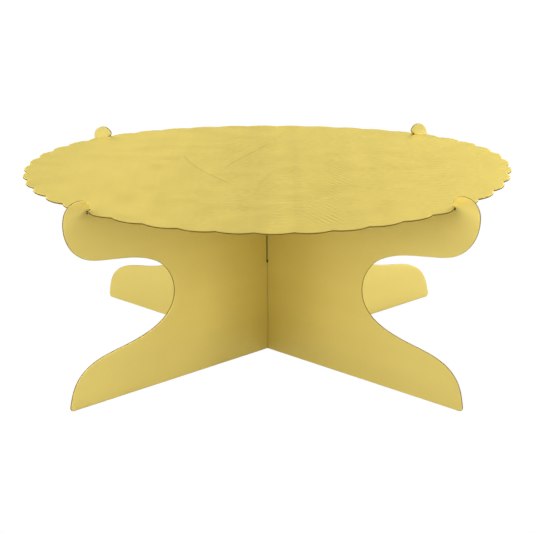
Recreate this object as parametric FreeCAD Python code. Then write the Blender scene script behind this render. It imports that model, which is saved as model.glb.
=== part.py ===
import FreeCAD, Part
import math
import os

# Flat-pack card cake stand: a scalloped round plate on two cross panels that half-lap
# at the middle.  Every piece is a die-cut laminate of a greyboard core and two thin
# foil-paper facings.  Frame: +Z up, the floor is z = 0, the origin is on the floor at
# the axis where the two panels cross.  Panel A lies along X, panel B along Y.
# All dimensions in millimetres.

# ---------------------------------------------------------------- driving dimensions
CORE_T = 0.70                 # greyboard core
FOIL_T = 0.10                 # foil-paper facing, one on each side of the core
BOARD_T = CORE_T + 2 * FOIL_T  # whole laminate, 0.9

PLATE_R = 152.4               # plate radius over the scallop crests, 12 in across
SCALLOP_COUNT = 44            # crests round the rim, so a valley faces every panel end
SCALLOP_DEPTH = 2.6           # crest to valley
SCALLOP_ROOT_R = 1.4          # small round in the bottom of each valley
NICK_R = 148.4                # how far in the four nicks for the panels reach
NICK_CLEAR = 0.30             # room each side of a panel in its nick

SEAT_Z = 118.2                # top edge of the panels, the plate's underside
SLIT_H = 1.4                  # height of the open slit that takes the plate's rim
SLIT_END_R = 149.70           # radius of the round blind end of the slit
FOOT_CORNER_R = 2.0           # round at the toe of each foot

HALF_LAP_Z = 59.2             # height where the two half-lap slots meet
SLOT_A_W = BOARD_T + 1.5      # slot in panel A, open at the top, loose on panel B
SLOT_B_W = BOARD_T + 0.6      # slot in panel B, open at the bottom, close on panel A
SLOT_B_END_GAP = 0.3          # panel B's web stops this far above the slot's centre height

# Side outline of one panel end as (distance from the axis, height).
# Top of the foot, from the toe inward, then round the open recess and out along the
# underside of the arm to the outermost point of the hook.
TOE = [(160.9, 2.6), (159.7, 8.2), (156.7, 15.7), (151.0, 21.9), (143.9, 25.9),
       (136.0, 28.4), (127.8, 30.0), (119.7, 31.3), (111.6, 32.8), (103.6, 34.8),
       (95.7, 37.6), (88.5, 41.7), (82.9, 47.7), (80.4, 55.2), (81.4, 63.3),
       (85.3, 70.6), (91.2, 76.3), (98.4, 80.4), (106.3, 83.1), (114.4, 84.9),
       (122.5, 86.1), (130.6, 87.1), (138.9, 88.2), (147.0, 90.0), (154.5, 93.3),
       (160.6, 98.6), (164.6, 105.8), (166.0, 113.8)]
# From there over the round nub and down its inner side to the slit's upper lip.
NUB = [(166.0, 113.8), (165.3, 118.8), (163.3, 122.6), (160.4, 125.3), (157.0, 126.6),
       (153.7, 126.6), (150.9, 125.3), (149.2, 123.3), (148.75, 121.5)]

OVERALL_H = 126.8


# ---------------------------------------------------------------------- helper solids
def vec(x, y, z=0.0):
    return FreeCAD.Vector(x, y, z)


def spline(points):
    curve = Part.BSplineCurve()
    curve.interpolate(points)
    return curve.toShape()


def arc(a, b, c):
    return Part.Arc(a, b, c).toShape()


def line(a, b):
    return Part.LineSegment(a, b).toShape()


def half_outline():
    """Edges of one panel end in the XZ plane, from the floor up to the seat edge."""
    toe_x, toe_z = TOE[0]
    # the toe's corner: a round from the flat sole up to the start of the outline
    sole_x = toe_x - FOOT_CORNER_R
    k = math.sqrt(0.5)
    corner = arc(vec(sole_x, 0, 0),
                 vec(sole_x + FOOT_CORNER_R * k, 0, toe_z - toe_z * k),
                 vec(toe_x, 0, toe_z))
    body = [vec(r, 0, z) for r, z in TOE]
    nub = [vec(r, 0, z) for r, z in NUB]
    whole = Part.BSplineCurve()
    whole.interpolate(body + nub[1:])
    # slit: upper lip, round blind end, lower lip (the seat edge)
    half = SLIT_H / 2
    end_c = SLIT_END_R - half
    lip_top = vec(end_c, 0, SEAT_Z + SLIT_H)
    slit_mid = vec(SLIT_END_R, 0, SEAT_Z + half)
    lip_low = vec(end_c, 0, SEAT_Z)
    edges = [corner, whole.toShape(),
             line(nub[-1], lip_top),
             arc(lip_top, slit_mid, lip_low)]
    return edges, vec(sole_x, 0, 0), lip_low


def panel_face():
    """Closed outline of a whole panel in the XZ plane, before its half-lap slot."""
    edges, sole, seat = half_outline()
    mirrored = [e.mirror(vec(0, 0, 0), vec(1, 0, 0)) for e in edges]
    all_edges = edges + mirrored
    all_edges.append(line(vec(-sole.x, 0, 0), vec(sole.x, 0, 0)))
    all_edges.append(line(vec(-seat.x, 0, seat.z), vec(seat.x, 0, seat.z)))
    wire = Part.Wire(Part.__sortEdges__(all_edges))
    return Part.Face(wire)


def slot_face_top(width):
    """Slot open at the top edge, with a full round end."""
    r = width / 2
    e = [arc(vec(-r, 0, HALF_LAP_Z), vec(0, 0, HALF_LAP_Z - r), vec(r, 0, HALF_LAP_Z)),
         line(vec(r, 0, HALF_LAP_Z), vec(r, 0, OVERALL_H + 5)),
         line(vec(r, 0, OVERALL_H + 5), vec(-r, 0, OVERALL_H + 5)),
         line(vec(-r, 0, OVERALL_H + 5), vec(-r, 0, HALF_LAP_Z))]
    return Part.Face(Part.Wire(e))


def slot_face_bottom(width):
    """Slot open at the floor edge, with a flat end."""
    r = width / 2
    top = HALF_LAP_Z + SLOT_B_END_GAP
    p = [vec(-r, 0, -5), vec(r, 0, -5), vec(r, 0, top), vec(-r, 0, top)]
    return Part.Face(Part.makePolygon(p + [p[0]]))


def layer(face, y0, y1):
    """Extrude a face lying in y = 0 into the slab y0 to y1."""
    f = face.copy()
    f.translate(vec(0, y0, 0))
    return f.extrude(vec(0, y1 - y0, 0))


def laminate(face, slot):
    """Core and two facings of one panel, each cut by the same slot."""
    cutter = layer(slot, -5, 5)
    h = CORE_T / 2
    spans = ((-h, h), (-h - FOIL_T, -h), (h, h + FOIL_T))
    return [layer(face, a, b).cut(cutter) for a, b in spans]


# ------------------------------------------------------------------------------ panels
face = panel_face()
a_core, a_front, a_back = laminate(face, slot_face_top(SLOT_A_W))
b_parts = laminate(face, slot_face_bottom(SLOT_B_W))
b_core, b_front, b_back = [s.rotated(vec(0, 0, 0), vec(0, 0, 1), 90) for s in b_parts]


# ------------------------------------------------------------------------------- plate
def scallop_wire(z):
    """Round lobes meeting in small rounded valleys; a valley faces +X."""
    half_pitch = math.pi / SCALLOP_COUNT
    valley_r = PLATE_R - SCALLOP_DEPTH
    root_c = valley_r + SCALLOP_ROOT_R

    def miss(lobe_r):
        lobe_c = PLATE_R - lobe_r
        d2 = lobe_c ** 2 + root_c ** 2 - 2 * lobe_c * root_c * math.cos(half_pitch)
        return math.sqrt(d2) - (lobe_r + SCALLOP_ROOT_R)

    lo, hi = 9.0, 140.0
    s = miss(lo)
    for _ in range(80):
        mid = (lo + hi) / 2
        if (miss(mid) > 0) == (s > 0):
            lo = mid
        else:
            hi = mid
    lobe_r = (lo + hi) / 2
    lobe_c = PLATE_R - lobe_r

    def polar(r, a):
        return vec(r * math.cos(a), r * math.sin(a), z)

    edges = []
    for i in range(SCALLOP_COUNT):
        valley = 2 * half_pitch * i
        root = polar(root_c, valley)
        before, after = [polar(lobe_c, valley + s * half_pitch) for s in (-1, 1)]
        t0 = before + (root - before).normalize() * lobe_r
        t1 = after + (root - after).normalize() * lobe_r
        edges.append(arc(t0, polar(valley_r, valley), t1))
        nxt = polar(root_c, valley + 2 * half_pitch)
        t2 = after + (nxt - after).normalize() * lobe_r
        edges.append(arc(t1, polar(PLATE_R, valley + half_pitch), t2))
    return Part.Wire(edges)


def plate_layer(z0, z1):
    solid = Part.Face(scallop_wire(z0)).extrude(vec(0, 0, z1 - z0))
    w = BOARD_T + 2 * NICK_CLEAR
    for i in range(4):
        nick = Part.makeBox(20, w, 10, vec(NICK_R, -w / 2, z0 - 5))
        nick.rotate(vec(0, 0, 0), vec(0, 0, 1), 90 * i)
        solid = solid.cut(nick)
    return solid


z = SEAT_Z
plate_under = plate_layer(z, z + FOIL_T)
plate_core = plate_layer(z + FOIL_T, z + FOIL_T + CORE_T)
plate_top = plate_layer(z + FOIL_T + CORE_T, z + BOARD_T)

nodes = {
    "plate_board": plate_core,
    "plate_top_foil": plate_top,
    "plate_underside_foil": plate_under,
    "leg_a_board": a_core,
    "leg_a_front_foil": a_front,
    "leg_a_back_foil": a_back,
    "leg_b_board": b_core,
    "leg_b_front_foil": b_front,
    "leg_b_back_foil": b_back,
}

os.makedirs("parts", exist_ok=True)
for name, shape in nodes.items():
    solid = shape.Solids[0]
    if len(shape.Solids) != 1 or not solid.isValid():
        raise SystemExit("bad solid: " + name)
    solid.exportStep("parts/" + name + ".step")
    box = solid.BoundBox
    print("%-22s volume %9.1f mm3  x %7.1f..%6.1f  y %7.1f..%6.1f  z %6.2f..%6.2f" % (
        name, solid.Volume, box.XMin, box.XMax, box.YMin, box.YMax, box.ZMin, box.ZMax))
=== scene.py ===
import math

import bpy
import numpy as np
from mathutils import Matrix, Vector
from mathutils.geometry import delaunay_2d_cdt
from mathutils.kdtree import KDTree


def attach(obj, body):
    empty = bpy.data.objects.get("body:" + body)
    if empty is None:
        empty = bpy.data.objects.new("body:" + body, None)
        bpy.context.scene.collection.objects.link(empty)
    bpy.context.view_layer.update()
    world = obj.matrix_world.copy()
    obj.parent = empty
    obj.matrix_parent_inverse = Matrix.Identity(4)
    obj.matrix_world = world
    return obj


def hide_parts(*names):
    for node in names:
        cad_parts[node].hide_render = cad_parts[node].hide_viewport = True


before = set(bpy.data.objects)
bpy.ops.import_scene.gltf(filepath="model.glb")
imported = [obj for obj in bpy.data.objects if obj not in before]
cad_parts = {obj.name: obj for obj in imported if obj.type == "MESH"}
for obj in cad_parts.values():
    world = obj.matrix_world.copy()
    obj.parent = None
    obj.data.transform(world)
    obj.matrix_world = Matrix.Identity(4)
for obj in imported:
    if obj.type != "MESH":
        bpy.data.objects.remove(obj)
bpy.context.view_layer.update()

MM = 0.001

# ------------------------------------------------------------------ the CAD's sizes (mm)
# The same numbers as the CAD model.  The board is drawn at its CAD size and then given
# the slight twist, saddle and ripple that thin card has once it is put together.
CORE_T, FOIL_T = 0.70, 0.10
BOARD_T = CORE_T + 2 * FOIL_T
PLATE_R, SCALLOP_COUNT, SCALLOP_DEPTH, SCALLOP_ROOT_R = 152.0, 44, 2.6, 1.4
NICK_CLEAR = 0.30
SEAT_Z, SLIT_H, SLIT_END_R, FOOT_CORNER_R = 118.2, 1.4, 149.70, 2.0
HALF_LAP_Z, SLOT_A_W, SLOT_B_W, SLOT_B_END_GAP = 59.2, BOARD_T + 1.5, BOARD_T + 0.6, -1.0
TOE = [(160.9, 2.6), (159.7, 8.2), (156.7, 15.7), (151.0, 21.9), (143.9, 25.9),
       (136.0, 28.4), (127.8, 30.0), (119.7, 31.3), (111.6, 32.8), (103.6, 34.8),
       (95.7, 37.6), (88.5, 41.7), (82.9, 47.7), (80.4, 55.2), (81.4, 63.3),
       (85.3, 70.6), (91.2, 76.3), (98.4, 80.4), (106.3, 83.1), (114.4, 84.9),
       (122.5, 86.1), (130.6, 87.1), (138.9, 88.2), (147.0, 90.0), (154.5, 93.3),
       (160.6, 98.6), (164.6, 105.8), (166.0, 113.8)]
NUB = [(166.0, 113.8), (165.3, 118.8), (163.3, 122.6), (160.4, 125.3), (157.0, 126.6),
       (153.7, 126.6), (150.9, 125.3), (149.2, 123.3), (148.75, 121.5)]

# The photograph's hooks end slightly further in than the CAD model's.
TOE = [(r - 0.65 * (z > 86) * (r > 150), z - 0.3 * (78 < z < 97)) for r, z in TOE]
NUB = [(r - 0.65 * (r > 162) - 0.3 * (158 < r <= 162), z) for r, z in NUB]

# how the card sits once assembled
TWIST = math.radians(1.89)     # the cross is turned this much at the seat, none at the floor
# Each panel end is a little different in the photograph.  Outward or upward shifts from the
# design: the slit's blind end (out, up), then the nub's inner side, outer side and top.
ENDS = {("a", -1): (-2.4, -1.0, -3.4, 0.0, -1.05), ("a", 1): (-3.05, 0.0, -4.6, -3.2, -0.8),
        ("b", -1): (-2.7, -0.9, -2.75, 0.0, -0.6), ("b", 1): (0.0, -0.3, -0.6, 0.9, -1.7)}
NUB_IN = NUB[-1][0]
# anticlockwise from the rear-right panel end: how far the scallop valley there is cut in,
# and the nicks in the plate, which clear the nubs
VALLEY = (0.0, 0.0, 1.9, 2.2)
NICK_R = [NUB_IN + ENDS[k][2] - 0.3 + 0.95 * v for k, v in zip((("a", 1), ("b", 1), ("a", -1), ("b", -1)), VALLEY)]
SADDLE = 2.37                  # plate rim up at two opposite sides, down at the other two
LOPSIDE = 0.72                 # one of the two high sides is this much higher


# ------------------------------------------------------------------------ camera first
def make_camera():
    cam = bpy.data.cameras.new("camera")
    cam.sensor_width = 36.0
    cam.lens = 36.0 * 1599.6 / 533.0
    cam.clip_start, cam.clip_end = 0.05, 100.0
    ob = bpy.data.objects.new("camera", cam)
    bpy.context.scene.collection.objects.link(ob)
    turn = Matrix.Rotation(math.radians(-45.0 + 0.524), 4, "Z")
    down, roll = math.radians(16.181), math.radians(-0.222)
    fwd = Vector((0, math.cos(down), -math.sin(down)))
    up = Vector((0, math.sin(down), math.cos(down)))
    right = Vector((1, 0, 0))
    r2 = math.cos(roll) * right + math.sin(roll) * up
    u2 = -math.sin(roll) * right + math.cos(roll) * up
    m = Matrix((r2, u2, -fwd)).transposed().to_4x4()
    m.translation = Vector((-0.62, -982.90, 340.18)) * MM
    ob.matrix_world = turn @ m
    bpy.context.scene.camera = ob
    return ob


make_camera()
rng = np.random.default_rng(4411)


# ------------------------------------------------------------------------ small helpers
def smooth(a, b, x):
    t = np.clip((np.asarray(x, float) - a) / (b - a), 0, 1)
    return t * t * (3 - 2 * t)


def end_slope(t, p, x):
    """Slope at x of the cubic through the four points."""
    d = np.zeros(2)
    for i in range(4):
        s = 0.0
        for k in range(4):
            if k == i:
                continue
            f = 1 / (t[i] - t[k])
            for m in range(4):
                if m not in (i, k):
                    f *= (x - t[m]) / (t[i] - t[m])
            s += f
        d += s * p[i]
    return d


def through(points, step):
    """The interpolating cubic through the points, sampled about step apart."""
    p = np.array(points, float)
    t = np.r_[0, np.cumsum(np.hypot(*np.diff(p, axis=0).T))]
    n, h = len(t), np.diff(t)
    a, b = np.zeros((n, n)), np.zeros((n, 2))
    a[0, 0] = a[-1, -1] = 1
    b[0], b[-1] = end_slope(t[:4], p[:4], t[0]), end_slope(t[-4:], p[-4:], t[-1])
    for i in range(1, n - 1):
        a[i, i - 1], a[i, i], a[i, i + 1] = 1 / h[i - 1], 2 / h[i - 1] + 2 / h[i], 1 / h[i]
        b[i] = 3 * ((p[i] - p[i - 1]) / h[i - 1] ** 2 + (p[i + 1] - p[i]) / h[i] ** 2)
    m = np.linalg.solve(a, b)
    u = np.linspace(0, t[-1], int(round(t[-1] / step)) + 1)
    i = np.clip(np.searchsorted(t, u, side="right") - 1, 0, n - 2)
    g = (t[i + 1] - t[i])[:, None]
    s = ((u - t[i])[:, None]) / g
    return ((2 * s**3 - 3 * s**2 + 1) * p[i] + (s**3 - 2 * s**2 + s) * g * m[i]
            + (-2 * s**3 + 3 * s**2) * p[i + 1] + (s**3 - s**2) * g * m[i + 1])


def arc(centre, r, a0, a1, step):
    n = max(2, int(math.ceil(abs(a1 - a0) * r / step)) + 1)
    a = np.linspace(a0, a1, n)
    return np.c_[centre[0] + r * np.cos(a), centre[1] + r * np.sin(a)]


def straight(a, b, step):
    a, b = np.array(a, float), np.array(b, float)
    n = max(1, int(round(np.linalg.norm(b - a) / step)))
    return a + (b - a) * np.linspace(0, 1, n + 1)[:, None]


def joined(*runs):
    """One closed outline from runs that share their ends."""
    out = [runs[0]]
    for r in runs[1:]:
        out.append(r[1:] if np.linalg.norm(r[0] - out[-1][-1]) < 1e-6 else r)
    p = np.vstack(out)
    return p[:-1] if np.linalg.norm(p[0] - p[-1]) < 1e-6 else p


# ---------------------------------------------------------------------------- outlines
def panel_outline(which):
    """Anticlockwise outline (x, z) of a whole panel with its half-lap slot."""
    k = FOOT_CORNER_R
    toe_x, toe_z = TOE[0]
    sole_x = toe_x - k
    # the toe's corner goes through these three points, as in the CAD
    a = np.array([sole_x, 0.0])
    b = np.array([sole_x + k * math.sqrt(0.5), toe_z - toe_z * math.sqrt(0.5)])
    c = np.array([toe_x, toe_z])
    m = np.array([b - a, c - b]) * 2
    ctr = np.linalg.solve(m, [b @ b - a @ a, c @ c - b @ b])
    r = np.linalg.norm(a - ctr)
    a0, a1 = math.atan2(*(a - ctr)[::-1]), math.atan2(*(c - ctr)[::-1])
    corner = arc(ctr, r, a0, a1, 0.35)
    corner[0], corner[-1] = a, c
    curve = through(TOE + NUB[1:], 0.9)
    h = SLIT_H / 2
    end = SLIT_END_R - h
    lip = straight(curve[-1], (end, SEAT_Z + SLIT_H), 0.4)
    # the blind end turns outward, so the void's round is walked clockwise
    blind = arc((end, SEAT_Z + h), h, math.pi / 2, -math.pi / 2, 0.2)
    side = joined(corner, curve, lip, blind)
    right = np.vstack([side, [[end, SEAT_Z]]]) if np.linalg.norm(side[-1] - [end, SEAT_Z]) > 1e-6 else side
    left = right[::-1] * [-1, 1]
    if which == "a":
        s = SLOT_A_W / 2
        seat_r = straight(right[-1], (s, SEAT_Z), 1.5)
        down = straight((s, SEAT_Z), (s, HALF_LAP_Z), 1.2)
        bottom = arc((0, HALF_LAP_Z), s, 0, -math.pi, 0.25)
        up = straight((-s, HALF_LAP_Z), (-s, SEAT_Z), 1.2)
        seat_l = straight((-s, SEAT_Z), left[0], 1.5)
        sole = straight(left[-1], right[0], 1.5)
        return joined(right, seat_r, down, bottom, up, seat_l, left, sole)
    s, top = SLOT_B_W / 2, HALF_LAP_Z + SLOT_B_END_GAP
    seat = straight(right[-1], left[0], 1.5)
    sole_l = straight(left[-1], (-s, 0), 1.5)
    up = straight((-s, 0), (-s, top), 1.2)
    across = straight((-s, top), (s, top), 0.4)
    down = straight((s, top), (s, 0), 1.2)
    sole_r = straight((s, 0), right[0], 1.5)
    return joined(right, seat, left, sole_l, up, across, down, sole_r)


def plate_outline():
    """Anticlockwise scalloped outline (x, y) with a nick for each panel end."""
    half = math.pi / SCALLOP_COUNT
    valley_r = PLATE_R - SCALLOP_DEPTH
    root_c = valley_r + SCALLOP_ROOT_R

    def miss(lobe_r):
        lobe_c = PLATE_R - lobe_r
        return math.sqrt(lobe_c**2 + root_c**2 - 2 * lobe_c * root_c * math.cos(half)) - (lobe_r + SCALLOP_ROOT_R)

    lo, hi = 9.0, 140.0
    s = miss(lo)
    for _ in range(80):
        mid = (lo + hi) / 2
        if (miss(mid) > 0) == (s > 0):
            lo = mid
        else:
            hi = mid
    lobe_r = (lo + hi) / 2
    lobe_c = PLATE_R - lobe_r
    w = BOARD_T / 2 + NICK_CLEAR
    # where the nick's side meets the two lobes beside it
    cx, cy = lobe_c * math.cos(half), lobe_c * math.sin(half)
    corner_r = cx + math.sqrt(lobe_r**2 - (cy - w) ** 2)
    near = lambda v, a: a + ((v - a + math.pi) % (2 * math.pi) - math.pi)
    ang = lambda p: math.atan2(p[1], p[0])
    every = SCALLOP_COUNT // 4
    runs = []
    for i in range(SCALLOP_COUNT):
        v = 2 * half * i
        e, n = np.array([math.cos(v), math.sin(v)]), np.array([-math.sin(v), math.cos(v)])
        v2 = v + 2 * half
        e2, n2 = np.array([math.cos(v2), math.sin(v2)]), np.array([-math.sin(v2), math.cos(v2)])
        root, nxt = root_c * e, root_c * e2
        crest_a = v + half
        crest = lobe_c * np.array([math.cos(crest_a), math.sin(crest_a)])
        before = lobe_c * np.array([math.cos(v - half), math.sin(v - half)])
        if i % every == 0:
            a, b = NICK_R[i // every] * e - w * n, NICK_R[i // every] * e + w * n
            t1 = corner_r * e + w * n
            runs += [straight(corner_r * e - w * n, a, 0.3), straight(a, b, 0.3), straight(b, t1, 0.3)]
        else:
            t0 = before + (root - before) / np.linalg.norm(root - before) * lobe_r
            t1 = crest + (root - crest) / np.linalg.norm(root - crest) * lobe_r
            back = v + math.pi
            runs.append(arc(root, SCALLOP_ROOT_R, near(ang(t0 - root), back), near(ang(t1 - root), back), 0.3))
        if (i + 1) % every == 0:
            t2 = corner_r * e2 - w * n2
        else:
            t2 = crest + (nxt - crest) / np.linalg.norm(nxt - crest) * lobe_r
        runs.append(arc(crest, lobe_r, near(ang(t1 - crest), crest_a), near(ang(t2 - crest), crest_a), 0.8))
    return joined(*runs)


# ------------------------------------------------------------------ meshing flat shapes
def outward(p):
    """Mitre normals of an anticlockwise outline, scaled so that p - d * normal is the true inset."""
    e = np.roll(p, -1, 0) - p
    n = np.c_[e[:, 1], -e[:, 0]] / np.linalg.norm(e, axis=1)[:, None]
    before = np.roll(n, 1, 0)
    m = n + before
    return m / np.maximum(1 + (n * before).sum(1), 0.35)[:, None]


def inside(poly, q):
    """Even-odd test of points q in the polygon."""
    hit = np.zeros(len(q), bool)
    x, y = q[:, 0], q[:, 1]
    a, b = poly, np.roll(poly, -1, 0)
    for (x0, y0), (x1, y1) in zip(a, b):
        if y0 == y1:
            continue
        c = (y0 > y) != (y1 > y)
        if c.any():
            hit[c] ^= x[c] < (x1 - x0) * (y[c] - y0) / (y1 - y0) + x0
    return hit


def fill(ring, step):
    """Points and faces that fill the ring: a square grid inside, stitched to the ring.
    The first len(ring) points are the ring's."""
    n = len(ring)
    lo, hi = ring.min(0), ring.max(0)
    nx, ny = int((hi[0] - lo[0]) / step) + 3, int((hi[1] - lo[1]) / step) + 3
    ox, oy = (lo[0] + hi[0]) / 2 - nx * step / 2, (lo[1] + hi[1]) / 2 - ny * step / 2
    gx, gy = np.meshgrid(ox + step * np.arange(nx + 1), oy + step * np.arange(ny + 1), indexing="ij")
    grid = np.c_[gx.ravel(), gy.ravel()]
    ok = inside(ring, grid)
    tree = KDTree(n)
    for i, q in enumerate(ring):
        tree.insert((q[0], q[1], 0), i)
    tree.balance()
    for i in np.nonzero(ok)[0]:
        if tree.find((grid[i, 0], grid[i, 1], 0))[2] < step * 0.75:
            ok[i] = False
    ok = ok.reshape(nx + 1, ny + 1)
    cell = ok[:-1, :-1] & ok[1:, :-1] & ok[1:, 1:] & ok[:-1, 1:]
    used = np.zeros_like(ok)
    used[:-1, :-1] |= cell
    used[1:, :-1] |= cell
    used[1:, 1:] |= cell
    used[:-1, 1:] |= cell
    number = np.full(ok.shape, -1)
    number[used] = n + np.arange(used.sum())
    points = np.vstack([ring, np.c_[gx[used], gy[used]]])
    ci, cj = np.nonzero(cell)
    quads = np.c_[number[ci, cj], number[ci + 1, cj], number[ci + 1, cj + 1], number[ci, cj + 1]]
    # the grid's own border
    pad = np.pad(cell, 1)
    edges = []
    for di, dj, a, b in ((-1, 0, (0, 0), (0, 1)), (1, 0, (1, 0), (1, 1)), (0, -1, (0, 0), (1, 0)), (0, 1, (0, 1), (1, 1))):
        bare = cell & ~pad[1 + di:1 + di + nx, 1 + dj:1 + dj + ny]
        i, j = np.nonzero(bare)
        edges.append(np.c_[number[i + a[0], j + a[1]], number[i + b[0], j + b[1]]])
    edges = np.vstack(edges)
    rim = np.unique(edges)
    spare = np.zeros(0, int)
    local = np.r_[np.arange(n), rim]
    back = {int(v): k for k, v in enumerate(local)}
    cons = [(i, (i + 1) % n) for i in range(n)] + [(back[int(a)], back[int(b)]) for a, b in edges]
    out = delaunay_2d_cdt([Vector(points[i]) for i in local], cons, [], 0, 1e-7, True)
    verts, faces, orig = out[0], out[2], out[3]
    if len(verts) != len(local):
        raise RuntimeError("the stitch made %d new points" % (len(verts) - len(local)))
    where = np.array([local[o[0]] for o in orig])
    tri = where[np.array([f for f in faces], int)]
    c = points[tri].mean(1)
    keep = inside(ring, c)
    i = np.floor((c[:, 0] - ox) / step).astype(int)
    j = np.floor((c[:, 1] - oy) / step).astype(int)
    within = (i >= 0) & (j >= 0) & (i < nx) & (j < ny)
    keep[within] &= ~cell[i[within], j[within]]
    tri = tri[keep]
    a, b, c = points[tri[:, 0]], points[tri[:, 1]], points[tri[:, 2]]
    area = np.cross(b - a, c - a)
    tri[area < 0] = tri[area < 0][:, ::-1]
    return points, quads, tri[np.abs(area) > 1e-9]


class Sheet:
    """A flat die-cut shape: rings from the cut edge inward, then the fill."""

    def __init__(self, outline, insets, step, tight):
        self.n = len(outline)
        normal = outward(outline)
        # the rings crowd together round the small corners
        gap = np.linalg.norm(outline[:, None] - np.array(tight), axis=2).min(1)
        ease = np.clip(0.22 + 0.78 * gap / 2.5, 0, 1)
        rings = [outline - d * ease[:, None] * normal for d in insets]
        pts, quads, tris = fill(rings[-1], step)
        k = len(insets)
        self.p = np.vstack(rings[:-1] + [pts])
        off = (k - 1) * self.n
        self.edge = np.full(len(self.p), insets[-1] * 1.0)
        for i, d in enumerate(insets[:-1]):
            self.edge[i * self.n:(i + 1) * self.n] = d * ease
        # inside the last ring the distance from the cut edge only has to be large
        self.edge[off + self.n:] = 9.0
        strips = []
        a = np.arange(self.n)
        b = (a + 1) % self.n
        for i in range(k - 1):
            o, q = i * self.n, (i + 1) * self.n
            strips.append(np.c_[o + a, o + b, q + b, q + a])
        self.quads = np.vstack(strips + [quads + off])
        self.tris = tris + off
        self.outline, self.normal = outline, normal


def build(name, verts, quads, tris, smooth_shade=True, sharp=None):
    """A mesh object from numpy arrays, in metres."""
    me = bpy.data.meshes.new(name)
    nq, nt = len(quads), len(tris)
    loops = np.concatenate([quads.ravel(), tris.ravel()]).astype(np.int32)
    starts = np.concatenate([4 * np.arange(nq), 4 * nq + 3 * np.arange(nt)]).astype(np.int32)
    me.vertices.add(len(verts))
    me.vertices.foreach_set("co", (np.asarray(verts) * MM).astype(np.float32).ravel())
    me.loops.add(len(loops))
    me.loops.foreach_set("vertex_index", loops)
    me.polygons.add(nq + nt)
    me.polygons.foreach_set("loop_start", starts)
    me.update(calc_edges=True)
    me.validate()
    me.shade_smooth() if smooth_shade else None
    ob = bpy.data.objects.new(name, me)
    bpy.context.scene.collection.objects.link(ob)
    return ob


def set_attribute(ob, name, values):
    a = ob.data.attributes.new(name, "FLOAT", "POINT")
    a.data.foreach_set("value", np.asarray(values, np.float32))


def mark_sharp(ob, degrees):
    ob.data.set_sharp_from_angle(angle=math.radians(degrees))


# --------------------------------------------------------------------- smooth 2-D noise
class Noise2:
    """Band-limited noise: a sum of plane waves with wavelengths near lam (mm)."""

    def __init__(self, seed, lam, count=40, spread=0.35, angle=None, fan=math.pi):
        r = np.random.default_rng(seed)
        a = r.uniform(-fan / 2, fan / 2, count) + (0 if angle is None else angle)
        k = 2 * math.pi / (lam * np.exp(r.normal(0, spread, count)))
        self.k = np.c_[k * np.cos(a), k * np.sin(a)]
        self.ph = r.uniform(0, 2 * math.pi, count)
        self.w = math.sqrt(2 / count)

    def __call__(self, x, y):
        out = np.zeros_like(x)
        for (kx, ky), p in zip(self.k, self.ph):
            out += np.sin(kx * x + ky * y + p)
        return out * self.w


# --------------------------------------------------------------- how the card is warped
def twist_of(z):
    return TWIST * np.clip(z / SEAT_Z, 0, 1)


def turn(x, y, a):
    c, s = np.cos(a), np.sin(a)
    return x * c - y * s, x * s + y * c


panel_wave = {"a": Noise2(11, 95, 14), "b": Noise2(12, 95, 14)}


def place_panel(which, x, z, w):
    """Panel coordinates (along, up, out of plane) to the row frame, in mm."""
    r, moved, up = np.abs(x), np.zeros_like(x), np.zeros_like(x)
    near, out = smooth(130, 147, r), smooth(149, 163, r)
    under, over = smooth(104, 117.5, z), smooth(119.7, 122.4, z)
    for end in (-1, 1):
        slit, sink, inner, outer, top = ENDS[which, end]
        here = np.sign(x) == end
        moved = moved + here * near * (1 - out) * under * (slit * (1 - over) + inner * over)
        moved = moved + here * out * smooth(112, 119, z) * outer
        up = up + here * near * top * smooth(119.8, 126.6, z)
        up = up + here * sink * np.exp(-(((r - 149) / 2.4) ** 2) - ((z - 118.9) / 2.6) ** 2)
    x, z = np.sign(x) * (r + moved), z + up
    fade = smooth(6, 45, np.abs(x)) * (1 - smooth(118, 146, np.abs(x))) * smooth(0, 14, z)
    w = w + 0.10 * panel_wave[which](x, z) * fade
    px, py = (x, w) if which == "a" else (-w, x)
    px, py = turn(px, py, twist_of(z))
    return np.c_[px, py, z]


def plate_height(x, y):
    """How far the plate's own mid shape lies above flat, in its own frame."""
    r2 = (x * x + y * y) / PLATE_R**2
    a = np.arctan2(y, x)
    q = a + math.pi / 4                      # angle from the plate's higher side
    h = -SADDLE * np.sin(2 * a) + LOPSIDE * (np.cos(q) + np.cos(3 * q)) / 2
    # the front of the rim stands a little off the seat, within the play of the slits
    f = (np.degrees(a) + 136.37 + 180) % 360 - 180
    h = h + 0.50 * (1 - smooth(28, 92, np.abs(f))) + 0.25 * np.exp(-(((f - 24) / 14) ** 2)) + 0.15 * np.exp(-(((f + 4) / 9) ** 2))
    return r2 * h


def place_plate(x, y, z):
    z = z + plate_height(x, y) + 0.02
    r = np.hypot(x, y) + 1e-9
    cut = np.zeros_like(r)
    for k, (c, s) in enumerate(((1, 0), (0, 1), (-1, 0), (0, -1))):
        cut = cut + VALLEY[k] * np.exp(-(((c * y - s * x) / 7) ** 2)) * (c * x + s * y > 0)
    scale = 1 - cut * smooth(132, 150, r) / r
    x, y = x * scale, y * scale
    px, py = turn(x, y, TWIST)
    return np.c_[px, py, z]


# ------------------------------------------------------------------------ the cut edge
# The knife enters at the good face and rolls the foil over the edge; it leaves a small
# burr at the other face.
def roll(d):
    """How far the face sinks at distance d from the cut edge."""
    return 0.13 * np.exp(-d / 0.16) * (d < 2)


def burr(d):
    return 0.03 * np.exp(-d / 0.10) * (d < 2)


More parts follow.
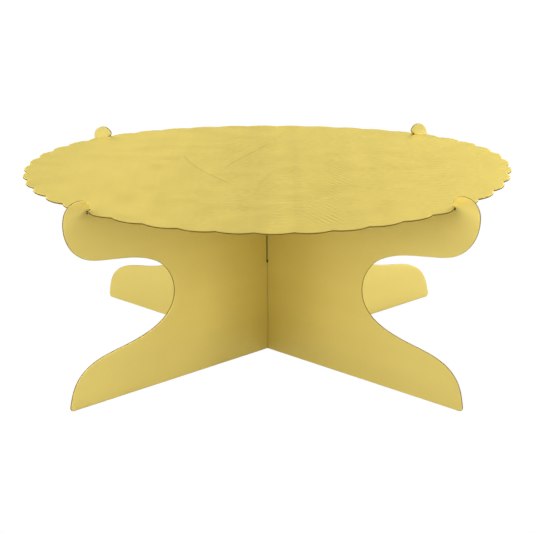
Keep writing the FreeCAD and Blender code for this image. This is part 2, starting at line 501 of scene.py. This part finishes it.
INSETS = [0.0, 0.06, 0.16, 0.34, 0.75]
PANEL_TIGHT = [(s * (SLIT_END_R - SLIT_H / 2), SEAT_Z + SLIT_H) for s in (1, -1)]
PLATE_TIGHT = []
for c, s in ((1, 0), (0, 1), (-1, 0), (0, -1)):
    for y in (-0.75, 0.75):
        PLATE_TIGHT.append((c * 149.5 - s * y, s * 149.5 + c * y))


def shell(sheet, coarse, place, outer, inner, up):
    """A thin closed foil: the fine outer face, the coarse inner face and the cut edge between them.
    up is +1 where the outer face looks along +thickness."""
    top = place(sheet.p[:, 0], sheet.p[:, 1], outer(sheet))
    bot = place(coarse.p[:, 0], coarse.p[:, 1], inner(coarse))
    n, o = sheet.n, len(sheet.p)
    a = np.arange(n)
    b = (a + 1) % n
    wall = np.c_[a, o + a, o + b, b]
    q1, t1 = sheet.quads, sheet.tris
    q2, t2 = coarse.quads[:, ::-1] + o, coarse.tris[:, ::-1] + o
    quads, tris = np.vstack([q1, q2, wall]), np.vstack([t1, t2])
    if up < 0:
        quads, tris = quads[:, ::-1], tris[:, ::-1]
    edge = np.concatenate([np.exp(-sheet.edge / 0.22), np.exp(-coarse.edge / 0.22)])
    return np.vstack([top, bot]), quads, tris, edge


def core(coarse, place, low, high, profile, seed):
    """The board between the foils, with its fibrous cut wall in several layers."""
    r = np.random.default_rng(seed)
    n = coarse.n
    top = place(coarse.p[:, 0], coarse.p[:, 1], high(coarse.edge))
    bot = place(coarse.p[:, 0], coarse.p[:, 1], low(coarse.edge))
    o1, o2 = len(top), len(top) + len(bot)
    layers = []
    z0, z1 = low(np.zeros(n)), high(np.zeros(n))
    s = np.r_[0, np.cumsum(np.linalg.norm(np.diff(coarse.outline, axis=0), axis=1))]
    for t, out in profile:
        rough = sum(r.normal(0, 1) * np.sin(s / l + r.uniform(0, 6.28)) for l in r.uniform(0.25, 1.6, 14)) / math.sqrt(14)
        q = coarse.outline + coarse.normal * (out + 0.018 * rough)[:, None]
        layers.append(place(q[:, 0], q[:, 1], z1 + (z0 - z1) * t))
    a = np.arange(n)
    b = (a + 1) % n
    starts = [0] + [o2 + i * n for i in range(len(layers))] + [o1]
    walls = [np.c_[u + a, v + a, v + b, u + b] for u, v in zip(starts[:-1], starts[1:])]
    quads = np.vstack([coarse.quads, coarse.quads[:, ::-1] + o1] + walls)
    tris = np.vstack([coarse.tris, coarse.tris[:, ::-1] + o1])
    return np.vstack([top, bot] + layers), quads, tris


WALL = [(0.12, 0.010), (0.3, 0.03), (0.5, 0.035), (0.7, 0.03), (0.9, 0.012)]


# -------------------------------------------------------------------------- materials
def new_material(name):
    m = bpy.data.materials.new(name)
    m.use_nodes = True
    nt = m.node_tree
    for n in list(nt.nodes):
        nt.nodes.remove(n)
    out = nt.nodes.new("ShaderNodeOutputMaterial")
    bsdf = nt.nodes.new("ShaderNodeBsdfPrincipled")
    nt.links.new(bsdf.outputs[0], out.inputs[0])
    return m, nt, bsdf


def noise(nt, vec, scale, detail=3.0, rough=0.5, distortion=0.0):
    n = nt.nodes.new("ShaderNodeTexNoise")
    n.inputs["Scale"].default_value = scale
    n.inputs["Detail"].default_value = detail
    n.inputs["Roughness"].default_value = rough
    n.inputs["Distortion"].default_value = distortion
    nt.links.new(vec, n.inputs["Vector"])
    return n.outputs["Fac"]


def ramp(nt, fac, stops):
    r = nt.nodes.new("ShaderNodeValToRGB")
    e = r.color_ramp.elements
    while len(e) < len(stops):
        e.new(0.5)
    for el, (pos, col) in zip(e, stops):
        el.position = pos
        el.color = (*col, 1)
    nt.links.new(fac, r.inputs["Fac"])
    return r.outputs["Color"]


def mix(nt, fac, a, b, mode="MIX"):
    m = nt.nodes.new("ShaderNodeMix")
    m.data_type = "RGBA"
    m.blend_type = mode
    for sock, val in ((m.inputs[0], fac), (m.inputs[6], a), (m.inputs[7], b)):
        if hasattr(val, "links") or hasattr(val, "is_linked"):
            nt.links.new(val, sock)
        else:
            sock.default_value = val if isinstance(val, float) else (*val, 1)
    return m.outputs[2]


def remap(nt, v, a, b, lo=0.0, hi=1.0):
    m = nt.nodes.new("ShaderNodeMapRange")
    m.inputs["From Min"].default_value, m.inputs["From Max"].default_value = lo, hi
    m.inputs["To Min"].default_value, m.inputs["To Max"].default_value = a, b
    nt.links.new(v, m.inputs["Value"])
    return m.outputs["Result"]


def bump(nt, height, distance, strength=1.0, normal=None):
    b = nt.nodes.new("ShaderNodeBump")
    b.inputs["Distance"].default_value = distance
    b.inputs["Strength"].default_value = strength
    nt.links.new(height, b.inputs["Height"])
    if normal is not None:
        nt.links.new(normal, b.inputs["Normal"])
    return b.outputs["Normal"]


def foil(name, gold, tint, rough, seed, along=None):
    """Matt gold foil paper: the foil's colour, its colour at grazing angles, its roughness."""
    m, nt, bsdf = new_material(name)
    tc = nt.nodes.new("ShaderNodeTexCoord")
    mp = nt.nodes.new("ShaderNodeMapping")
    mp.inputs["Location"].default_value = (seed * 0.37, seed * 0.11, seed * 0.23)
    nt.links.new(tc.outputs["Object"], mp.inputs["Vector"])
    v = mp.outputs["Vector"]
    g = np.array(gold)
    cloud = noise(nt, v, 14.0, 3.0, 0.5)
    col = ramp(nt, cloud, [(0.30, g * (0.990, 0.988, 0.975)), (0.70, np.minimum(g * (1.010, 1.012, 1.025), 1))])
    fibre = noise(nt, v, 1400.0, 3.0, 0.6)
    fleck = ramp(nt, fibre, [(0.30, (0.975, 0.973, 0.96)), (0.62, (1, 1, 1))])
    col = mix(nt, 1.0, col, fleck, "MULTIPLY")
    # the stored tone: a little random tone, with painted light and shade in bands across the plate, painted shading of
    # its ripples and creases, and painted shade at the panels' crossing and on the nubs
    lay = nt.nodes.new("ShaderNodeAttribute")
    lay.attribute_name = "lay"
    col = mix(nt, 1.0, col, ramp(nt, lay.outputs["Fac"], [(0.0, (0.50, 0.50, 0.50)), (1.0, (1.0, 1.0, 1.0))]), "MULTIPLY")
    at = nt.nodes.new("ShaderNodeAttribute")
    at.attribute_name = "cut_edge"
    # the board's brown within a fraction of a millimetre of the cut edge; the marks below add painted shade
    edge_and_painted_shade = mix(nt, remap(nt, at.outputs["Fac"], 0.0, 0.75, 0.35, 1.0), col, (0.26, 0.18, 0.045))
    if along:
        # painted shadow: near-black spots at the blind end of the rim slits, where the slit's gap shows only shade
        xyz = nt.nodes.new("ShaderNodeSeparateXYZ")
        nt.links.new(tc.outputs["Object"], xyz.inputs[0])
        out = nt.nodes.new("ShaderNodeMath")
        out.operation = "ABSOLUTE"
        nt.links.new(xyz.outputs[along], out.inputs[0])
        at_end = nt.nodes.new("ShaderNodeCombineXYZ")
        nt.links.new(out.outputs[0], at_end.inputs[0])
        nt.links.new(xyz.outputs["Z"], at_end.inputs[2])
        flat = nt.nodes.new("ShaderNodeCombineXYZ")
        nt.links.new(xyz.outputs[along], flat.inputs[0])
        nt.links.new(xyz.outputs["Z"], flat.inputs[2])
        for end in (-1, 1):
            slit, sink = ENDS[along.lower().replace("x", "a").replace("y", "b"), end][:2]
            gap = nt.nodes.new("ShaderNodeVectorMath")
            gap.operation = "DISTANCE"
            gap.inputs[1].default_value = (end * (SLIT_END_R + 0.2 + slit) * MM, 0, (SEAT_Z + SLIT_H / 2 + 0.2 + sink) * MM)
            nt.links.new(flat.outputs[0], gap.inputs[0])
            edge_and_painted_shade = mix(nt, remap(nt, gap.outputs["Value"], 1.0, 0.0, 0.75 * MM, 1.05 * MM), edge_and_painted_shade, (0.020, 0.013, 0.004))
        # and painted shadow, near black, round the end of the half-lap slot, where the panels' crossing leaves a dark
        # crevice
        ring = nt.nodes.new("ShaderNodeVectorMath")
        ring.operation = "DISTANCE"
        ring.inputs[1].default_value = (0, 0, (HALF_LAP_Z - 0.2) * MM)
        nt.links.new(at_end.outputs[0], ring.inputs[0])
        reach = 1.0 if along == "Y" else 1.3
        edge_and_painted_shade = mix(nt, remap(nt, ring.outputs["Value"], 1.0, 0.0, reach * MM, (reach + 0.3) * MM), edge_and_painted_shade, (0.022, 0.014, 0.004))
    if along == "Y":
        # painted shade where this panel passes through the other panel's slot: the narrow gap there is dark with shade
        across = remap(nt, out.outputs[0], 1.0, 0.0, 0.46 * MM, 0.60 * MM)
        above = remap(nt, xyz.outputs["Z"], 0.0, 1.0, (HALF_LAP_Z - 1.6) * MM, (HALF_LAP_Z - 1.3) * MM)
        both = nt.nodes.new("ShaderNodeMath")
        both.operation = "MULTIPLY"
        nt.links.new(across, both.inputs[0])
        nt.links.new(above, both.inputs[1])
        edge_and_painted_shade = mix(nt, both.outputs[0], edge_and_painted_shade, (0.085, 0.052, 0.014))
    nt.links.new(edge_and_painted_shade, bsdf.inputs["Base Color"])
    bsdf.inputs["Metallic"].default_value = 1.0
    bsdf.inputs["Specular Tint"].default_value = (*tint, 1)
    nt.links.new(remap(nt, noise(nt, v, 60.0, 4.0, 0.55), rough - 0.02, rough + 0.03, 0.3, 0.7), bsdf.inputs["Roughness"])
    n1 = bump(nt, noise(nt, v, 900.0, 2.0, 0.5), 0.000012, 1.0)
    n2 = bump(nt, noise(nt, v, 230.0, 3.0, 0.55), 0.00004, 1.0, n1)
    nt.links.new(n2, bsdf.inputs["Normal"])
    return m


def greyboard(name, across):
    """Raw cut edge.  across names the coordinate that runs through the board's thickness."""
    m, nt, bsdf = new_material(name)
    tc = nt.nodes.new("ShaderNodeTexCoord")
    v = tc.outputs["Object"]
    mp = nt.nodes.new("ShaderNodeMapping")
    mp.inputs["Scale"].default_value = {"z": (1, 1, 14), "y": (1, 14, 1), "x": (14, 1, 1)}[across]
    nt.links.new(v, mp.inputs["Vector"])
    ply = noise(nt, mp.outputs["Vector"], 260.0, 4.0, 0.65)
    col = ramp(nt, ply, [(0.30, (0.060, 0.034, 0.004)), (0.52, (0.114, 0.069, 0.009)), (0.74, (0.195, 0.125, 0.022))])
    speck = noise(nt, v, 2600.0, 2.0, 0.6)
    col = mix(nt, 1.0, col, ramp(nt, speck, [(0.34, (0.62, 0.58, 0.52)), (0.5, (1, 1, 1))]), "MULTIPLY")
    nt.links.new(col, bsdf.inputs["Base Color"])
    nt.links.new(remap(nt, ply, 0.82, 0.96), bsdf.inputs["Roughness"])
    bsdf.inputs["Specular IOR Level"].default_value = 0.04
    n1 = bump(nt, ply, 0.00006, 1.0)
    nt.links.new(bump(nt, speck, 0.00003, 1.0, n1), bsdf.inputs["Normal"])
    return m


LIGHTEST = 1.10               # the lightest tone the foil reaches against its mean
# the colours here are of that lightest tone
PLATE_GOLD, PLATE_TINT = (0.725, 0.583, 0.174), (1.0, 0.97, 0.58)
# the legs are the plate's foil stock with its colour set a little darker: painted shade for how light falls on the legs
LEG_GOLD, LEG_TINT = (0.700, 0.575, 0.176), (1.0, 0.98, 0.62)
mat = {
    "plate_top": foil("gold_foil_plate", PLATE_GOLD, PLATE_TINT, 0.55, 1),
    "plate_under": foil("gold_foil_underside", PLATE_GOLD, PLATE_TINT, 0.58, 2),
    "leg_a": foil("gold_foil_leg_a", LEG_GOLD, LEG_TINT, 0.55, 3, "X"),
    "leg_b": foil("gold_foil_leg_b", LEG_GOLD, LEG_TINT, 0.55, 4, "Y"),
    "core_plate": greyboard("greyboard_plate", "z"),
    "core_a": greyboard("greyboard_leg_a", "y"),
    "core_b": greyboard("greyboard_leg_b", "x"),
}


def store_tone_and_painted_shade(ob, tone):
    """Store the foil's tone with its painted light and shade (1 is the mean) as 0 to 1 for the material, which spans
    0.50 to 1.00 of LIGHTEST.
    """
    set_attribute(ob, "lay", np.clip((tone / LIGHTEST - 0.5) / 0.5, 0, 1))


def finish_piece(ob, material, body, node):
    ob.data.materials.append(material)
    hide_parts(node)
    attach(ob, body)


# ------------------------------------------------------------------------------ panels
for which in ("a", "b"):
    outline = panel_outline(which)
    fine = Sheet(outline, INSETS, 2.0, PANEL_TIGHT)
    coarse = Sheet(outline, [0.0, 0.3], 6.0, PANEL_TIGHT)
    place = lambda x, z, w, which=which: place_panel(which, x, z, w)
    h, c = BOARD_T / 2, CORE_T / 2
    # the foil that the photograph's side shows is the rolled one on panel A
    faces = {
        "front": (-1, lambda s: -(h - roll(s.edge)), lambda s: -(c - roll(s.edge)) - 0.004),
        "back": (1, lambda s: h - burr(s.edge), lambda s: c - burr(s.edge) + 0.004),
    }
    for side, (up, outer, inner) in faces.items():
        verts, quads, tris, edge = shell(fine, coarse, place, outer, inner, up)
        # panel coordinates (x, z, w) are left-handed when w is +y, so faces turn over
        flip = -1 if which == "a" else -1
        ob = build("panel_%s_gold_%s" % (which, side), verts, quads[:, ::flip], tris[:, ::flip])
        set_attribute(ob, "cut_edge", edge)
        web = Noise2(41 + "ab".index(which), 30, 30, 0.6, 0.0, 0.05)
        along, height = fine.p[:, 0], fine.p[:, 1]
        # a little random tone, and painted shade: the foil darker towards the crossing of the panels
        tone = 1 + 0.006 * web(height, along) - 0.07 * (1 - smooth(4, 60, np.abs(along)))
        # painted shade: the nubs darker, most on panel A's, for light that falls on them too strongly
        for end, nub_shade in zip((-1, 1), (0.22, 0.14) if which == "a" else (0.07, 0.03)):
            tone = tone - nub_shade * (np.sign(along) == end) * smooth(113 if nub_shade > 0.2 else 119, 123, height)
        store_tone_and_painted_shade(ob, np.concatenate([tone, np.ones(len(coarse.p))]))
        mark_sharp(ob, 50)
        finish_piece(ob, mat["leg_" + which], "leg_" + which, "leg_%s_%s_foil" % (which, side))
    verts, quads, tris = core(coarse, place, lambda e: -(c - roll(e)) + 0.0, lambda e: c - burr(e), WALL, 21 if which == "a" else 22)
    ob = build("panel_%s_greyboard" % which, verts, quads[:, ::-1], tris[:, ::-1])
    mark_sharp(ob, 50)
    finish_piece(ob, mat["core_" + which], "leg_" + which, "leg_%s_board" % which)

# ------------------------------------------------------------------------------- plate
outline = plate_outline()
fine = Sheet(outline, INSETS, 0.75, PLATE_TIGHT)
coarse = Sheet(outline, [0.0, 0.3], 6.0, PLATE_TIGHT)
Z0 = SEAT_Z

def plan(x, y):
    """Plate coordinates turned to the photograph's right and away directions."""
    return turn(x, y, math.radians(46.37))


def beside(path, x, y):
    """Signed distance to a polyline and how far along it, from 0 to 1."""
    p = np.array(path, float)
    run = np.r_[0, np.cumsum(np.hypot(*np.diff(p, axis=0).T))]
    best, side, along = np.full(x.shape, 1e9), np.ones(x.shape), np.zeros(x.shape)
    for i in range(len(p) - 1):
        d = p[i + 1] - p[i]
        l = math.hypot(*d)
        t = np.clip(((x - p[i, 0]) * d[0] + (y - p[i, 1]) * d[1]) / l**2, 0, 1)
        qx, qy = x - p[i, 0] - t * d[0], y - p[i, 1] - t * d[1]
        r = np.hypot(qx, qy)
        near = r < best
        best = np.where(near, r, best)
        side = np.where(near, np.sign(d[0] * qy - d[1] * qx), side)
        along = np.where(near, (run[i] + t * l) / run[-1], along)
    return best * side, along


# Creases and bands of fine ripples in the plate's foil, as paths in plan (right, away) in mm.
CREASES = [
    ([(2, 80), (-13, 40), (-28, 0)], 1.0),
    ([(-10, 78), (-22, 42), (-33, 8)], 0.35),
    ([(-55, 44), (-50, 20), (-46, 8), (-36, -16), (-20, -46)], 0.9),
    ([(6, 0), (0, -24), (-6, -48)], 0.25),
    ([(14, 128), (8, 104), (-2, 84)], 0.3),
    ([(-18, -52), (-6, -66), (6, -74)], 0.22),
]
RIPPLES = [      # path, half width, strength, 1 where the strokes run down to the right
    ([(60, 112), (55, 80), (46, 20), (44, -20), (32, -100), (32, -130)], 8.0, 1.0, 1.0),
    ([(8, 120), (8, 40), (6, -40), (6, -135)], 6.0, 0.60, 0.0),
    ([(20, 60), (20, -40), (17, -120)], 4.0, 0.45, 0.0),
    ([(72, 90), (70, 15)], 7.0, 0.55, 0.7),
    ([(86, 0), (88, -30), (98, -90)], 7.0, 0.60, 0.6),
    ([(105, 30), (105, -60)], 6.0, 0.55, 0.4),
    ([(-24, -46), (-18, -80), (-12, -112)], 10.0, 0.38, 0.2),
    ([(-22, 60), (-32, 110)], 10.0, 0.45, 0.3),
]
# painted light and shade in bands across the plate, from left to right: (right, in mm; tone against the mean)
PAINTED_LIGHT_BANDS = [(-150, 0.90), (-135, 0.93), (-118, 0.965), (-98, 1.01), (-80, 1.02), (-62, 1.015), (-45, 1.00),
       (-30, 0.985), (-18, 0.970), (-10, 0.950), (-2, 0.950), (3, 0.985), (8, 1.002), (12, 0.995), (16, 0.962),
       (19, 0.966), (23, 1.004), (28, 0.990), (34, 0.985), (46, 0.985), (58, 0.998), (66, 0.988), (74, 0.996), (90, 1.000),
       (108, 0.998), (124, 1.004), (138, 1.02), (150, 1.04)]

ripple_soft = Noise2(31, 17, 24, 0.3)
ripple_peel = Noise2(32, 6.4, 60, 0.25)
ripple_run = Noise2(33, 3.4, 36, 0.08, math.radians(30), 0.32)
ripple_run2 = Noise2(34, 6.2, 36, 0.12, math.radians(90), 0.45)
web_fine = Noise2(35, 7.0, 30, 0.5, 0.0, 0.03)
patchy = Noise2(36, 22, 30, 0.4)


def foil_marks(x, y):
    """Height of the foil's creases and ripples, and the tone: painted light and shade bands, and painted shading of the
    ripples and creases.
    """
    u, v = plan(x, y)
    right = smooth(-75, -20, u)
    height = 0.004 * ripple_soft(u, v) * (0.12 + 0.88 * right)
    peel = ripple_peel(u, v) * (0.15 + 0.85 * right) * (0.6 + 0.4 * np.clip(patchy(u, v), -1, 1))
    height = height + 0.012 * peel
    # painted light and shade bands, a little random tone, and painted shading of the fine ripples
    tone = np.interp(u, *np.array(PAINTED_LIGHT_BANDS).T) + 0.004 * web_fine(u, v) + 0.020 * peel
    for path, half, amount, down in RIPPLES:
        d, t = beside(path, u, v)
        band = np.exp(-(d / half) ** 2) * np.clip(0.75 + 0.5 * patchy(u * 1.3 + 40, v), 0.1, 1.4)
        wave = amount * band * (down * ripple_run(u, v) + (1 - 0.7 * down) * ripple_run2(u, v))
        height = height + 0.034 * wave
        # painted shading of the ripples: lighter and darker with the waves, a little darker along each band
        tone = tone + 0.072 * wave - 0.008 * amount * band
    for path, amount in CREASES:
        d, t = beside(path, u, v)
        fade = smooth(0, 0.12, t) * (1 - smooth(0.85, 1.0, t)) * amount
        height = height + fade * (-0.055 * np.exp(-(d / 0.8) ** 2) + 0.030 * np.exp(-((d - 1.8) / 1.0) ** 2))
        # painted shade in each crease, with a painted highlight on its shoulder
        tone = tone - fade * (0.16 * np.exp(-(d / 0.80) ** 2) - 0.035 * np.exp(-((d - 1.7) / 0.9) ** 2))
    return height, tone


def top_face(s):
    x, y = s.p[:, 0], s.p[:, 1]
    height, tone = foil_marks(x, y)
    z = Z0 + BOARD_T - roll(s.edge)
    return z + smooth(0.2, 4.0, s.edge) * height


verts, quads, tris, edge = shell(fine, coarse, place_plate, top_face,
                                 lambda s: Z0 + BOARD_T - FOIL_T - roll(s.edge) + 0.004, 1)
ob = build("plate_gold_top", verts, quads, tris)
set_attribute(ob, "cut_edge", edge)
store_tone_and_painted_shade(ob, np.concatenate([foil_marks(fine.p[:, 0], fine.p[:, 1])[1], np.ones(len(coarse.p))]))
mark_sharp(ob, 50)
finish_piece(ob, mat["plate_top"], "plate", "plate_top_foil")

mid = Sheet(outline, INSETS, 2.5, PLATE_TIGHT)
verts, quads, tris, edge = shell(mid, coarse, place_plate, lambda s: Z0 + burr(s.edge),
                                 lambda s: Z0 + FOIL_T + burr(s.edge) - 0.004, -1)
ob = build("plate_gold_underside", verts, quads, tris)
set_attribute(ob, "cut_edge", edge)
under_web = Noise2(37, 60, 30, 0.6, 0.0, 0.05)
store_tone_and_painted_shade(ob, np.concatenate([1 + 0.008 * under_web(*plan(mid.p[:, 0], mid.p[:, 1])), np.ones(len(coarse.p))]))
mark_sharp(ob, 50)
finish_piece(ob, mat["plate_under"], "plate", "plate_underside_foil")

verts, quads, tris = core(coarse, place_plate, lambda e: Z0 + FOIL_T + burr(e),
                          lambda e: Z0 + BOARD_T - FOIL_T - roll(e), WALL, 23)
ob = build("plate_greyboard", verts, quads, tris)
mark_sharp(ob, 50)
finish_piece(ob, mat["core_plate"], "plate", "plate_board")


# -------------------------------------------------------------------- floor and lights
def make_floor():
    me = bpy.data.meshes.new("floor")
    s = 12.0
    me.from_pydata([(-s, -s, 0), (s, -s, 0), (s, s, 0), (-s, s, 0)], [], [(0, 1, 2, 3)])
    ob = bpy.data.objects.new("floor", me)
    bpy.context.scene.collection.objects.link(ob)
    m, nt, bsdf = new_material("white_floor")
    bsdf.inputs["Base Color"].default_value = (0.40, 0.40, 0.40, 1)
    bsdf.inputs["Roughness"].default_value = 0.9
    bsdf.inputs["Specular IOR Level"].default_value = 0.0
    bsdf.inputs["Emission Color"].default_value = (1, 1, 1, 1)
    bsdf.inputs["Emission Strength"].default_value = 0.34
    # the camera sees it plain white, as in the photograph
    seen = nt.nodes.new("ShaderNodeLightPath")
    white = nt.nodes.new("ShaderNodeEmission")
    white.inputs["Color"].default_value = (1, 1, 1, 1)
    pick = nt.nodes.new("ShaderNodeMixShader")
    nt.links.new(seen.outputs["Is Camera Ray"], pick.inputs[0])
    nt.links.new(bsdf.outputs[0], pick.inputs[1])
    nt.links.new(white.outputs[0], pick.inputs[2])
    # from below the floor is clear, so that the underside can be looked at
    side = nt.nodes.new("ShaderNodeNewGeometry")
    clear = nt.nodes.new("ShaderNodeBsdfTransparent")
    whole = nt.nodes.new("ShaderNodeMixShader")
    nt.links.new(side.outputs["Backfacing"], whole.inputs[0])
    nt.links.new(pick.outputs[0], whole.inputs[1])
    nt.links.new(clear.outputs[0], whole.inputs[2])
    nt.links.new(whole.outputs[0], nt.nodes["Material Output"].inputs[0])
    me.materials.append(m)


make_floor()


# Studio light as soft lobes on the sky: name, azimuth and elevation in degrees, how tight
# the lobe is, and how bright.  Azimuth 0 is straight behind the object as the camera
# sees it, 90 is to the right.
SKY = [
    ("back_right", 40, 14, 20, 16.4),
    ("back_left", -40, 14, 20, 12.8),
    ("side_right", 80, 14, 30, 0.9),
    ("front_right_wide", 108, 14, 50, 9.2),
    ("front_left_wide", -108, 14, 50, 6.5),
    ("front_right", 140, 12, 30, 9.0),
    ("front_left", -140, 12, 30, 9.8),
    ("high_front", 180, 62, 10, 1.7),
    ("over_right", 90, 57, 60, 2.0),
    ("over_left", -90, 57, 60, 15.0),
]
SKY_BASE = 0.01


def make_world():
    w = bpy.data.worlds.new("studio")
    bpy.context.scene.world = w
    w.use_nodes = True
    nt = w.node_tree
    bg = nt.nodes["Background"]
    tc = nt.nodes.new("ShaderNodeTexCoord")
    base = nt.nodes.new("ShaderNodeValue")
    base.name = "sky_base"
    base.outputs[0].default_value = SKY_BASE
    total = base.outputs[0]
    for name, az, el, power, strength in SKY:
        a, e = math.radians(az) , math.radians(el)
        d = Vector((math.sin(a) * math.cos(e), math.cos(a) * math.cos(e), math.sin(e)))
        d = Matrix.Rotation(math.radians(-45.0 + 0.524), 3, "Z") @ d
        dot = nt.nodes.new("ShaderNodeVectorMath")
        dot.operation = "DOT_PRODUCT"
        nt.links.new(tc.outputs["Generated"], dot.inputs[0])
        dot.inputs[1].default_value = d
        clip = nt.nodes.new("ShaderNodeMath")
        clip.operation = "MAXIMUM"
        nt.links.new(dot.outputs["Value"], clip.inputs[0])
        clip.inputs[1].default_value = 0.0
        pw = nt.nodes.new("ShaderNodeMath")
        pw.operation = "POWER"
        nt.links.new(clip.outputs[0], pw.inputs[0])
        pw.inputs[1].default_value = power
        add = nt.nodes.new("ShaderNodeMath")
        add.operation = "MULTIPLY_ADD"
        add.name = "lobe_" + name
        nt.links.new(pw.outputs[0], add.inputs[0])
        add.inputs[1].default_value = strength
        nt.links.new(total, add.inputs[2])
        total = add.outputs[0]
    nt.links.new(total, bg.inputs["Strength"])
    bg.inputs["Color"].default_value = (1, 1, 1, 1)
    # seen directly, the sky is the same plain white as the floor
    seen = nt.nodes.new("ShaderNodeLightPath")
    white = nt.nodes.new("ShaderNodeBackground")
    white.inputs["Color"].default_value = (1, 1, 1, 1)
    pick = nt.nodes.new("ShaderNodeMixShader")
    nt.links.new(seen.outputs["Is Camera Ray"], pick.inputs[0])
    nt.links.new(bg.outputs[0], pick.inputs[1])
    nt.links.new(white.outputs[0], pick.inputs[2])
    nt.links.new(pick.outputs[0], nt.nodes["World Output"].inputs[0])


make_world()
sc = bpy.context.scene
sc.view_settings.view_transform = "Standard"
sc.view_settings.look = "None"
sc.view_settings.exposure = 0.0
sc.view_settings.gamma = 1.0
